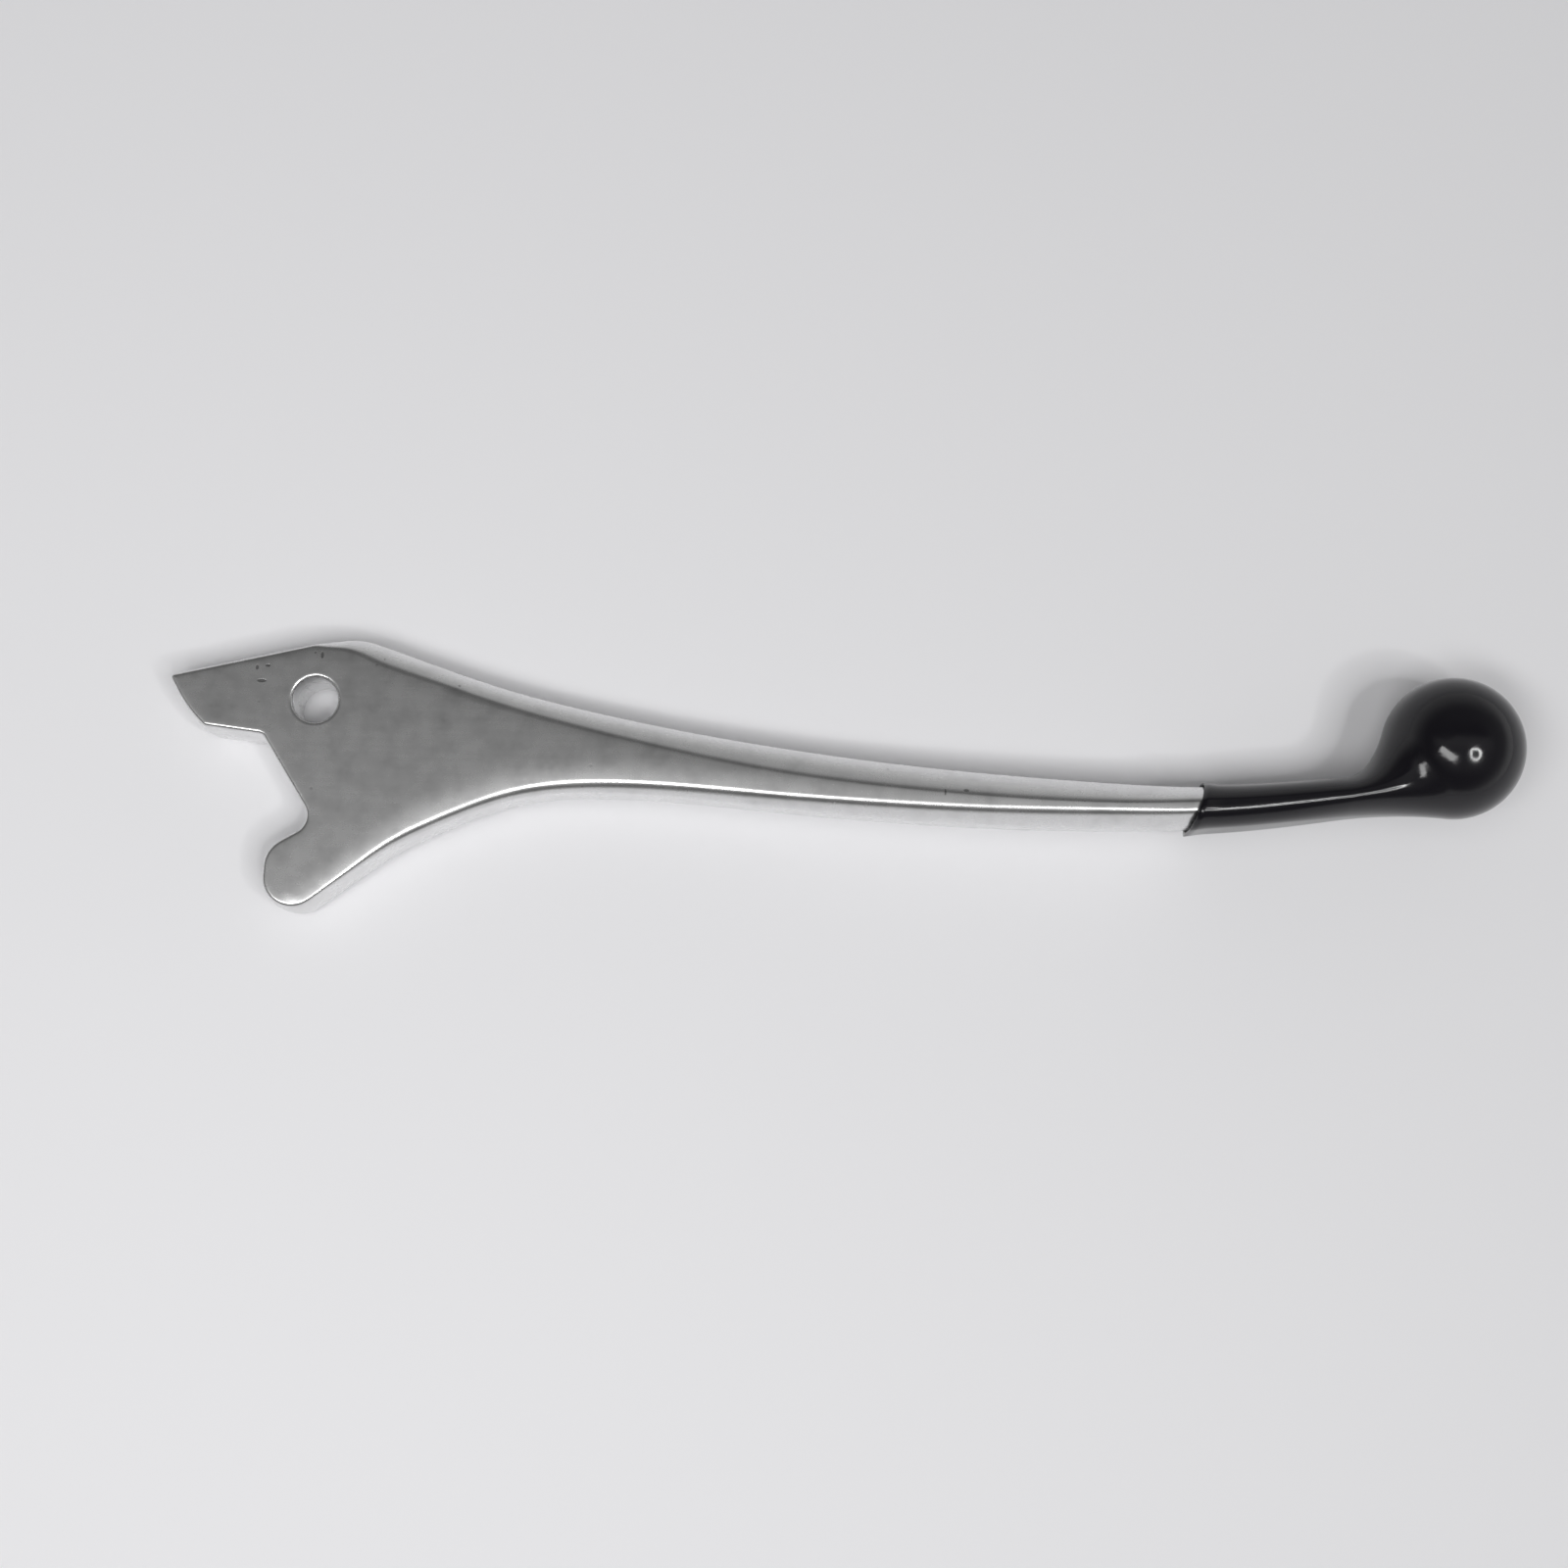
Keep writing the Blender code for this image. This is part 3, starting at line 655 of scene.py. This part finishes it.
def ripple(mesh, past):
    """Makes the vinyl's outer skin uneven, most of all where it has run thick."""
    centre, reach = PUDDLE
    for vert in mesh.verts:
        place = Vector(vert.co)
        near = smooth_step(1 - (place.xy - Vector(centre)).length / reach)
        start = smooth_step((place.x - MOUTH_X - past) / past)
        amount = 0.0
        for (depth, length), share in zip(VINYL_WAVES, (1.0, near)):
            amount += noise.noise(place / length) * depth * share
        vert.co = place + vert.normal * amount * start


def finish_piece(name, node, mesh, material):
    """Makes the piece, in metres, in place of its CAD node."""
    bmesh.ops.recalc_face_normals(mesh, faces=mesh.faces)
    for vert in mesh.verts:
        vert.co *= MM
    data = bpy.data.meshes.new(name)
    mesh.to_mesh(data)
    mesh.free()
    data.shade_smooth()
    data.materials.append(material)
    piece = bpy.data.objects.new(name, data)
    bpy.context.scene.collection.objects.link(piece)
    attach(piece, "root")
    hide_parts(node)
    return piece


def buffed_blade():
    """The one-piece casting: head, blade, neck and the ball's core."""
    bare = blade_sections(BLADE[0][0])
    bare += neck_sections(bare[-1])
    mesh = bmesh.new()
    rings = []
    crease_line = []
    slopes = []
    for i, section in enumerate(bare):
        seated = SEAT_DEPTH * smooth_step(section["past_mouth"] / SEAT_LENGTH)
        rings.append(add_ring(mesh, offset_section(bare, i, -seated) if seated else section))
        crease_line.append(rings[-1][WALL_LEVELS].co[:2])
        slopes.append(crease_slope(section["shoulder"], section["height"], section["crease"]))
    core = METAL_BALL - SEAT_DEPTH
    rings += [add_ring(mesh, section) for section in ball_sections(core)]
    add_skin(mesh, rings, ball_tip(core))
    head_line, head_slopes = add_head(mesh, rings[0])
    line = np.concatenate((head_line[::-1], np.array(crease_line[1:])))
    soften(mesh, line, head_slopes[::-1] + slopes[1:])
    return finish_piece("buffed_blade", "lever_blade", mesh, aluminium())


def dipped_sleeve():
    """The vinyl: a thin skin along the neck and round the ball, open at its mouth."""
    bare = blade_sections(MOUTH_X)
    bare += neck_sections(bare[-1])
    mesh = bmesh.new()
    outer = []
    for i, section in enumerate(bare):
        past = section["past_mouth"]
        bead = LIP_BEAD * (1 - smooth_step(past / LIP_LENGTH))
        skin = offset_section(bare, i, VINYL_STANDOUT + bead)
        kept = 1 - smooth_step((past - VINYL_EVEN[0]) / (VINYL_EVEN[1] - VINYL_EVEN[0]))
        skin["back_width"] += VINYL_EDGE[0] * kept
        skin["back_depth"] -= VINYL_EDGE[1] * kept
        outer.append(add_ring(mesh, skin))
    outside_radius = BALL_DIAMETER / 2
    outer += [add_ring(mesh, section) for section in ball_sections(outside_radius)]
    add_skin(mesh, outer, ball_tip(outside_radius))
    mesh.normal_update()
    ripple(mesh, LIP_LENGTH)
    inner = []
    for i, section in enumerate(bare):
        seated = SEAT_DEPTH * smooth_step(section["past_mouth"] / SEAT_LENGTH)
        inner.append(add_ring(mesh, offset_section(bare, i, GAP - seated)))
    inside_radius = METAL_BALL - SEAT_DEPTH + GAP
    inner += [add_ring(mesh, section) for section in ball_sections(inside_radius)]
    add_skin(mesh, inner, ball_tip(inside_radius))
    bridge(mesh, outer[0], inner[0])
    return finish_piece("dipped_sleeve", "ball_end_sleeve", mesh, vinyl())


# ---- nodes -------------------------------------------------------------------------------------
def add(tree, kind, inputs=None, **settings):
    """A new node. Each input is a value, or the output to link from."""
    made = tree.nodes.new("ShaderNode" + kind)
    for name, value in settings.items():
        setattr(made, name, value)
    for name, value in (inputs or {}).items():
        if isinstance(value, bpy.types.NodeSocket):
            tree.links.new(value, made.inputs[name])
        else:
            made.inputs[name].default_value = value
    return made


def sum_of(tree, first, second, share=1.0):
    """first + second * share"""
    return add(tree, "Math", {0: second, 1: share, 2: first}, operation="MULTIPLY_ADD").outputs[0]


def ease(tree, value, low, high, start=0.0, end=1.0):
    """An S-curve from start to end as the value goes from low to high."""
    inputs = {"Value": value, "From Min": low, "From Max": high, "To Min": start, "To Max": end}
    return add(tree, "MapRange", inputs, interpolation_type="SMOOTHSTEP").outputs[0]


def ramp(tree, factor, stops):
    """A smooth grey ramp through (position, brightness) stops."""
    made = add(tree, "ValToRGB", {"Fac": factor})
    made.color_ramp.interpolation = "B_SPLINE"
    elements = made.color_ramp.elements
    while len(elements) < len(stops):
        elements.new(0.5)
    for element, (position, grey) in zip(elements, stops):
        element.position = position
        element.color = (grey, grey, grey, 1.0)
    return made.outputs["Color"]


def mix(tree, share, first, second):
    """first where share is 0 and second where it is 1"""
    made = add(tree, "Mix", {"Factor": share}, data_type="RGBA")
    tree.links.new(first, made.inputs[6])
    tree.links.new(second, made.inputs[7])
    return made.outputs[2]


# ---- materials ---------------------------------------------------------------------------------
def new_material(name):
    """A material with its nodes and its Principled shader, and a vector in millimetres."""
    material = bpy.data.materials.new(name)
    material.use_nodes = True
    tree = material.node_tree
    place = add(tree, "TexCoord").outputs["Object"]
    scaled = add(tree, "Mapping", {"Vector": place, "Scale": (1 / MM,) * 3}).outputs[0]
    return material, tree, tree.nodes["Principled BSDF"], scaled


def clouds(tree, place, per_mm, detail=3.0, stretch=(1.0, 1.0, 1.0)):
    """Noise with per_mm waves to a millimetre."""
    stretched = add(tree, "Mapping", {"Vector": place, "Scale": stretch}).outputs[0]
    inputs = {"Vector": stretched, "Scale": per_mm, "Detail": detail, "Roughness": 0.55}
    return add(tree, "TexNoise", inputs).outputs["Fac"]


def nick(tree, place, centre, length, width):
    """1 inside a short mark that runs across the lever, and 0 away from it."""
    inputs = {"Vector": place, "Location": [-value for value in centre]}
    moved = add(tree, "Mapping", inputs).outputs[0]
    scale = (2 / width, 2 / length, 2 / length)
    scaled = add(tree, "Mapping", {"Vector": moved, "Scale": scale}).outputs[0]
    away = add(tree, "VectorMath", {0: scaled}, operation="LENGTH").outputs["Value"]
    return ease(tree, away, 0.5, 1.0, 1.0, 0.0)


def aluminium():
    """Buffed casting: fine lengthwise lines, faint cloudiness, small pits and a few nicks, each dented
    and darkened by painted shade.
    """
    material, tree, shader, place = new_material("buffed_aluminium")
    cloudy = clouds(tree, place, 0.3, 4.0)
    lines = clouds(tree, place, 1.0, 3.0, stretch=(0.08, 1.8, 1.8))
    grain = clouds(tree, place, 2.0, 2.0)
    spots = add(tree, "TexVoronoi", {"Vector": place, "Scale": 0.2}).outputs["Distance"]
    # painted shade: the pits are dented, and their colour is painted darker as well
    dents_and_painted_shade = ease(tree, spots, 0.025, 0.06, 0.3, 0.0)
    for centre, length, width in NICKS:
        dents_and_painted_shade = sum_of(tree, dents_and_painted_shade, nick(tree, place, centre, length, width))
    # painted shade: inside the pits and nicks the base colour drops towards 0.3, standing in for the
    # shade in their dents
    shade = ramp(tree, sum_of(tree, cloudy, dents_and_painted_shade, -1.0), ((0.0, 0.3), (0.3, 0.755), (0.7, 0.785)))
    rough = sum_of(tree, ease(tree, cloudy, 0.3, 0.7, 0.245, 0.265), lines, 0.03)
    relief = sum_of(tree, sum_of(tree, lines, grain, 0.4), dents_and_painted_shade, -45.0)
    bump = add(tree, "Bump", {"Height": relief, "Distance": 0.0003 * MM, "Strength": 1.0})
    tree.links.new(shade, shader.inputs["Base Color"])
    tree.links.new(rough, shader.inputs["Roughness"])
    tree.links.new(bump.outputs[0], shader.inputs["Normal"])
    shader.inputs["Metallic"].default_value = 1.0
    return material


def vinyl():
    """Glossy black dip coating with a faint orange peel."""
    material, tree, shader, place = new_material("black_vinyl")
    peel = clouds(tree, place, 0.8, 2.0)
    smears = clouds(tree, place, 0.15, 3.0)
    rough = ease(tree, smears, 0.3, 0.7, 0.10, 0.17)
    bump = add(tree, "Bump", {"Height": peel, "Distance": 0.012 * MM, "Strength": 1.0})
    tree.links.new(rough, shader.inputs["Roughness"])
    tree.links.new(bump.outputs[0], shader.inputs["Normal"])
    shader.inputs["Base Color"].default_value = (0.0062, 0.0056, 0.0080, 1.0)
    shader.inputs["IOR"].default_value = 1.47
    return material


def floor_material():
    """Pale matt table top."""
    material, tree, shader, place = new_material("pale_table")
    fibres = clouds(tree, place, 0.4, 3.0)
    bump = add(tree, "Bump", {"Height": fibres, "Distance": 0.01 * MM, "Strength": 1.0})
    tree.links.new(bump.outputs[0], shader.inputs["Normal"])
    shader.inputs["Base Color"].default_value = (0.88, 0.877, 0.895, 1.0)
    shader.inputs["Roughness"].default_value = 0.6
    return material


# ---- studio ------------------------------------------------------------------------------------
def floor():
    """A wide pale disc that touches the nose, the lug and the ball."""
    nose = Vector(REST_NOSE)
    lug = Vector(REST_LUG)
    ball = Vector((PIVOT_TO_BALL, 0.0, 0.0))
    up = Vector((0.0, 0.0, 1.0))
    for _ in range(SETTLE_STEPS):
        under = ball - up * BALL_DIAMETER / 2
        up = (lug - nose).cross(under - nose).normalized()
        if up.z < 0:
            up = -up
    mesh = bmesh.new()
    bmesh.ops.create_circle(mesh, cap_ends=True, segments=96, radius=FLOOR_RADIUS * MM)
    data = bpy.data.meshes.new("floor")
    mesh.to_mesh(data)
    mesh.free()
    data.materials.append(floor_material())
    disc = bpy.data.objects.new("floor", data)
    bpy.context.scene.collection.objects.link(disc)
    disc.location = (nose + lug + ball - up * BALL_DIAMETER / 2) / 3 * MM
    disc.rotation_mode = "QUATERNION"
    disc.rotation_quaternion = up.to_track_quat("Z", "Y")


def area_lamp(name, shape, size, power):
    """A lamp that shines along its -Z, with its size in millimetres."""
    data = bpy.data.lights.new(name, "AREA")
    data.shape = shape
    data.size = size[0] * MM
    data.size_y = size[1] * MM
    data.energy = power
    lamp = bpy.data.objects.new(data.name, data)
    bpy.context.scene.collection.objects.link(lamp)
    lamp.rotation_mode = "QUATERNION"
    return lamp


def ring_lamp():
    """A large ring-shaped lamp, as short straight strips that face the lever."""
    way = Vector(LAMP_WAY).normalized()
    turn = way.to_track_quat("Z", "Y")
    radius = LAMP_DISTANCE * tan(LAMP_ANGLE)
    for i in range(LAMP_STRIPS):
        angle = 2 * pi * i / LAMP_STRIPS
        outwards = Vector((cos(angle), sin(angle), 0.0))
        size = (2 * pi * radius / LAMP_STRIPS, LAMP_TUBE)
        strip = area_lamp(f"lamp_{i}", "RECTANGLE", size, LAMP_POWER / LAMP_STRIPS)
        strip.location = (way * LAMP_DISTANCE + turn @ (outwards * radius)) * MM
        strip.rotation_quaternion = turn @ outwards.to_track_quat("Y", "Z")


def soft_lamp():
    """A long soft lamp across the back side, nearer than the ring."""
    way = Vector(SOFT_WAY).normalized()
    lamp = area_lamp("soft_lamp", "RECTANGLE", SOFT_SIZE, SOFT_POWER)
    lamp.location = (Vector(SOFT_AIM) + way * SOFT_DISTANCE) * MM
    lamp.rotation_quaternion = way.to_track_quat("Z", "Y")


def fill_lamp():
    """A wide lamp overhead that lifts the shadows and has no reflection of its own."""
    lamp = area_lamp("fill_lamp", "DISK", (FILL_SIZE, FILL_SIZE), FILL_POWER)
    lamp.location = Vector(FILL_PLACE) * MM
    lamp.visible_glossy = False


def room():
    """The room: brightness by direction, from CEILING overhead and from WALLS round about."""
    world = bpy.data.worlds.new("room")
    bpy.context.scene.world = world
    world.use_nodes = True
    tree = world.node_tree
    split = add(tree, "SeparateXYZ", {0: add(tree, "TexCoord").outputs["Generated"]})
    x, y, z = split.outputs
    y_half = add(tree, "MapRange", {"Value": y, "From Min": -1.0}).outputs[0]
    ceiling = ramp(tree, y_half, CEILING)
    height = add(tree, "MapRange", {"Value": z, "From Min": -1.0}).outputs[0]
    left, right, near, far = (ramp(tree, height, wall) for wall in WALLS)
    x_squared = add(tree, "Math", {0: x, 1: x}, operation="MULTIPLY").outputs[0]
    y_squared = add(tree, "Math", {0: y, 1: y}, operation="MULTIPLY").outputs[0]
    flat_squared = sum_of(tree, x_squared, y_squared)
    along_y = add(tree, "Math", {0: y_squared, 1: flat_squared}, operation="DIVIDE").outputs[0]
    x_side = add(tree, "Math", {0: x, 1: 0.0}, operation="GREATER_THAN").outputs[0]
    y_side = add(tree, "Math", {0: y, 1: 0.0}, operation="GREATER_THAN").outputs[0]
    sides = mix(tree, x_side, left, right)
    ends = mix(tree, y_side, near, far)
    walls = mix(tree, along_y, sides, ends)
    light = mix(tree, ease(tree, z, 0.55, 0.85), walls, ceiling)
    tree.links.new(light, tree.nodes["Background"].inputs["Color"])
    tree.nodes["Background"].inputs["Strength"].default_value = ROOM_LIGHT


def camera():
    """The camera, at the photograph's viewing angle."""
    data = bpy.data.cameras.new("camera")
    data.sensor_width = 36.0
    data.lens = LENS
    data.clip_start = 0.01
    data.clip_end = 100.0
    eye = bpy.data.objects.new("camera", data)
    bpy.context.scene.collection.objects.link(eye)
    place = Vector(CAMERA_PLACE)
    eye.location = place * MM
    eye.rotation_mode = "QUATERNION"
    eye.rotation_quaternion = (Vector(CAMERA_AIM) - place).to_track_quat("-Z", "Y")
    bpy.context.scene.camera = eye


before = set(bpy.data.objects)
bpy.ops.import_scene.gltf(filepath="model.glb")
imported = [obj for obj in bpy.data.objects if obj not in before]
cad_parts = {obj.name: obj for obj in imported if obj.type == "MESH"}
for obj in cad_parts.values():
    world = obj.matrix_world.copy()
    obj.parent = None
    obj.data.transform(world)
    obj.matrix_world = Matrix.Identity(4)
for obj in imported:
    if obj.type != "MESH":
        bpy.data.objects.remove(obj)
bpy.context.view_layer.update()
bpy.context.scene.view_settings.view_transform = "Standard"
camera()
room()
ring_lamp()
soft_lamp()
fill_lamp()
floor()
buffed_blade()
dipped_sleeve()
